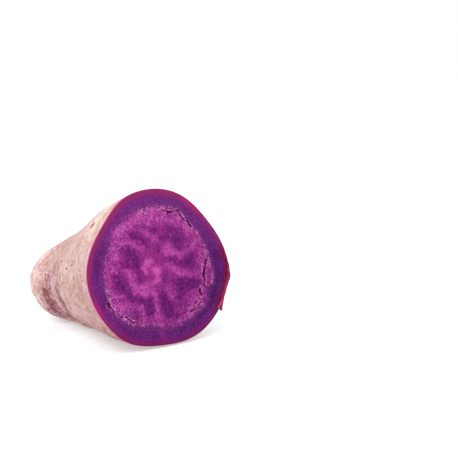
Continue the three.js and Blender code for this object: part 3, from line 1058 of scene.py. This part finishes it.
def ring_rows(shape):
    """Mean radius and distance from the cut of every ring, from the middle of the cut to the tip,
    and how many of them lie on the cut. Rings are closest together where the cambium runs."""
    share = np.linspace(0, 1, CUT_POINTS)
    crowd = 1 + CROWD * smooth_step(*CROWD_RISE, share) * smooth_step(*CROWD_FALL, share)
    reached = np.append(0, np.cumsum((crowd[1:] + crowd[:-1]) / 2))
    wanted = np.linspace(0, reached[-1], shape.cut_rings + 1)[1:]
    cut = np.interp(wanted, reached, share) * (CUT_RADIUS - CUT_INSET)
    along, radius = side_line(SIDE_POINTS)
    way = walked(along, radius)
    steps = np.append(SIDE_STEPS[0], np.linspace(SIDE_STEPS[1], way[-1], shape.side_rings)[:-1])
    rows_radius = np.concatenate([cut, [CUT_RADIUS - EDGE_BEVEL], np.interp(steps, way, radius)])
    rows_along = np.concatenate([0 * cut, [EDGE_BEVEL], np.interp(steps, way, along)])
    return rows_radius, rows_along, len(cut)


def bake_map(radius, along, cut_rows, angle):
    """Flat map of the rings, the cut as a disc at the top and the skin unrolled under it, then of
    the two poles for each column."""
    turn = np.append(angle, angle[0] + 2 * math.pi)
    reach = radius[:cut_rows] / CUT_RADIUS * (1 + outline_waves(turn) / CUT_RADIUS) * DISC_REACH
    disc = DISC_MIDDLE + reach[..., None] * stack(np.cos(turn), np.sin(turn))
    down = walked(radius[cut_rows:, 0], along[cut_rows:, 0])[:, None]
    across = np.linspace(0, 1, len(turn))
    strip = stack(STRIP_LEFT + STRIP_WIDTH * across, STRIP_TOP - STRIP_HEIGHT * down / down[-1])
    tip = (strip[-1, :-1] + strip[-1, 1:]) / 2
    return np.concatenate([disc, strip]), (np.broadcast_to(DISC_MIDDLE, tip.shape), tip)


def standing_body(shape):
    """Angle of each column; radius and distance from the cut of each ring; how many rings lie on
    the cut; the smooth body; the height its underside is pressed to; what moves it into place."""
    angle = -math.pi / 2 + np.arange(shape.columns) * 2 * math.pi / shape.columns
    rows_radius, rows_along, cut_rows = ring_rows(shape)
    radius, along = rows_radius[:, None], rows_along[:, None]
    smooth = body_point(radius, along, angle)
    ground = height(smooth).min() + SIT_DEPTH
    return angle, radius, along, cut_rows, smooth, ground, standing_offset(placed(press(smooth, ground)))


class TUBER_OT_half(bpy.types.Operator):
    """Build the half tuber: one closed body with its cut and its skin"""

    bl_idname = "sweet_potato.half"
    bl_label = "Half tuber"

    def execute(self, context):
        settings = context.scene.sweet_potato
        shape = settings.shape
        angle, radius, along, cut_rows, smooth, ground, offset = standing_body(shape)
        uv = bake_map(radius, along, cut_rows, angle)
        reach = CUT_RADIUS + outline_waves(angle)
        angle, radius, along, reach = np.broadcast_arrays(angle, radius, along, reach)
        turn, share = np.degrees(angle), np.minimum(radius / CUT_RADIUS, 1)
        waved = radius * reach / CUT_RADIUS
        flat = stack(waved * np.cos(angle), along, waved * np.sin(angle))
        cut = cut_marks(flat, share, turn, reach)
        skin = skin_marks(flat, turn, along, radius)

        on_cut = np.arange(len(radius))[:, None] < cut_rows
        rise = np.where(
            on_cut,
            cut_relief(flat, cut, share, shape.cut_relief),
            skin_relief(flat, skin, turn, along, radius, shape.skin_relief),
        )
        normal = np.where(on_cut[..., None], (0, -1, 0), outward(smooth))
        rings = placed(press(smooth + normal * rise[..., None], ground)) + offset
        mesh = rings_mesh(NODE, rings, *uv)
        columns = shape.columns
        of_skin = np.arange(len(radius) - 1) >= cut_rows
        slots = np.repeat([*of_skin, False, True], columns)
        mesh.materials.append(flesh_material(settings.flesh))
        mesh.materials.append(skin_material(settings.skin))
        mesh.polygons.foreach_set("material_index", slots.astype(np.int32))

        for name, values in cut.items():
            add_field(mesh, name, values)
        for name in ("scar", "lip", "stain", "dusty", "groove"):
            add_field(mesh, name, np.where(on_cut, 0, skin[name]))
        add_field(mesh, "edge", np.where(on_cut, (1 - share) * reach, along))
        rays = stack(RAY_RADIUS * np.cos(angle), cut["core"], RAY_RADIUS * np.sin(angle))
        add_field(mesh, "rays", rays, [(0, 0, 0), (0, 0, 0)])
        add_field(mesh, "place", flat, [(0, 0, 0), (0, HALF_LENGTH, 0)])
        add_piece(context, "purple_sweet_potato_half", mesh)
        return {"FINISHED"}


class TUBER_OT_shred(bpy.types.Operator):
    """Build the torn strip of peel that hangs from the rim of the cut"""

    bl_idname = "sweet_potato.shred"
    bl_label = "Torn peel"

    def execute(self, context):
        settings = context.scene.sweet_potato
        turn = np.linspace(SHRED[0, 0], SHRED[-1, 0], settings.shape.shred_rows)[:, None]
        out, width, proud, back = (np.interp(-turn, -SHRED[:, 0], column) for column in SHRED.T[1:])
        angle = np.radians(turn)
        reach = CUT_RADIUS + outline_waves(angle)
        section = np.arange(SHRED_COLUMNS) * 2 * math.pi / SHRED_COLUMNS
        waves = np.cos(section), np.sin(section)
        across, through = (np.sign(wave) * np.abs(wave) ** SHRED_SQUARE for wave in waves)
        run = np.radians(turn[0] - turn) * reach
        jag = SHRED_JAG * lumps(stack(run, 0, 0), 1.1, 61)
        outer, inner = reach + out + jag, reach + out - width + 0.5 * jag
        radius = (outer + inner) / 2 + (outer - inner) / 2 * across
        deep = (back - proud) / 2 + (back + proud) / 2 * through
        place = stack(run, radius - reach, deep)
        deep = deep + 0.10 * lumps(place, 1.3, 62)
        points = stack(radius * np.cos(angle), deep, radius * np.sin(angle))

        low, high, past = SHRED_MAP
        ring_uv = stack(np.linspace(low, high, len(turn))[:, None], np.linspace(low, high, SHRED_COLUMNS + 1))
        ends_uv = ring_uv[0, :-1] - (past, 0), ring_uv[-1, :-1] + (past, 0)
        mesh = rings_mesh("peel_shred", placed(points) + standing_body(settings.shape)[-1], ring_uv, ends_uv)
        mesh.materials.append(peel_material(settings.peel))
        free = smooth_step(*SHRED_FREE, turn)
        # Paler at the torn free end, and a painted highlight along the outer edge of the strip.
        fray = np.maximum(across, 0) ** 4 * 0.25 + free * (0.2 + 0.35 * np.abs(across) ** 3)
        add_field(mesh, "fray", fray, [0, 0.6])
        add_field(mesh, "place", place)
        add_piece(context, "peel_shred", mesh)
        return {"FINISHED"}


class TUBER_OT_stage(bpy.types.Operator):
    """Set the pale floor, the soft studio light and the camera"""

    bl_idname = "sweet_potato.stage"
    bl_label = "Studio stage"

    def floor(self, context, stage):
        """A wide square on the ground."""
        far = FLOOR_REACH
        mesh = bpy.data.meshes.new("studio_floor")
        mesh.from_pydata([(-far, -far, 0), (far, -far, 0), (far, far, 0), (-far, far, 0)], [], [(0, 1, 2, 3)])
        mesh.materials.append(Recipe("pale_floor").shade({
            "Base Color": stage.floor,
            "Roughness": 0.9,
            "Specular IOR Level": 0.1,
            "Emission Color": (1.0, 1.0, 1.0),
            "Emission Strength": stage.glow,
        }))
        add_object(context, "studio_floor", mesh)

    def camera(self, context, stage):
        """The camera, turned and raised about its aim, looks at it from the stage's distance."""
        turn, rise = stage.azimuth, stage.elevation
        back = Vector((math.sin(turn) * math.cos(rise), -math.cos(turn) * math.cos(rise), math.sin(rise)))
        right = (-back).cross(Vector((0, 0, 1))).normalized()
        up = right.cross(-back)
        place = Vector(CUT_MIDDLE) + back * stage.distance + right * CAMERA_ASIDE + up * CAMERA_UP
        data = bpy.data.cameras.new("camera")
        data.lens, data.sensor_width = stage.lens, SENSOR_WIDTH
        data.clip_start, data.clip_end = CLIP
        camera = add_object(context, "camera", data)
        camera.matrix_world = Matrix.Translation(place) @ Matrix((right, up, back)).transposed().to_4x4()
        context.scene.camera = camera

    def execute(self, context):
        scene = context.scene
        stage = scene.sweet_potato.stage
        self.floor(context, stage)
        self.camera(context, stage)
        for name, power, side, place in LAMPS:
            data = bpy.data.lights.new(name, "AREA")
            data.energy, data.size = getattr(stage, power), side
            lamp = add_object(context, name, data)
            lamp.location = place
            lamp.rotation_euler = (Vector(LAMP_AIM) - Vector(place)).to_track_quat("-Z", "Y").to_euler()
        scene.world = bpy.data.worlds.new("studio")
        scene.world.use_nodes = True
        sky = scene.world.node_tree.nodes["Background"]
        sky.inputs["Color"].default_value = (1.0, 1.0, 1.0, 1.0)
        sky.inputs["Strength"].default_value = stage.sky
        scene.view_settings.view_transform = "Standard"
        return {"FINISHED"}


class TUBER_PT_panel(bpy.types.Panel):
    """Lists the settings and the pieces."""

    bl_idname = "TUBER_PT_panel"
    bl_label = "Sweet Potato"
    bl_space_type = "VIEW_3D"
    bl_region_type = "UI"
    bl_category = "Sweet Potato"

    def draw(self, context):
        settings = context.scene.sweet_potato
        for part in settings.__annotations__:
            box = self.layout.box()
            box.label(text=part.title())
            group = getattr(settings, part)
            for name in group.__annotations__:
                box.prop(group, name)
        for operator in OPERATORS:
            self.layout.operator(operator.bl_idname)


OPERATORS = (TUBER_OT_half, TUBER_OT_shred, TUBER_OT_stage)
CLASSES = (
    TUBER_PG_shape, TUBER_PG_flesh, TUBER_PG_skin, TUBER_PG_peel, TUBER_PG_stage, TUBER_PG_all,
    *OPERATORS, TUBER_PT_panel,
)


def register():
    for cls in CLASSES:
        bpy.utils.register_class(cls)
    bpy.types.Scene.sweet_potato = PointerProperty(type=TUBER_PG_all)


def unregister():
    del bpy.types.Scene.sweet_potato
    for cls in reversed(CLASSES):
        bpy.utils.unregister_class(cls)


def main():
    register()
    bpy.ops.sweet_potato.half()
    bpy.ops.sweet_potato.shred()
    bpy.ops.sweet_potato.stage()
    bpy.context.view_layer.update()


if __name__ == "__main__":
    main()
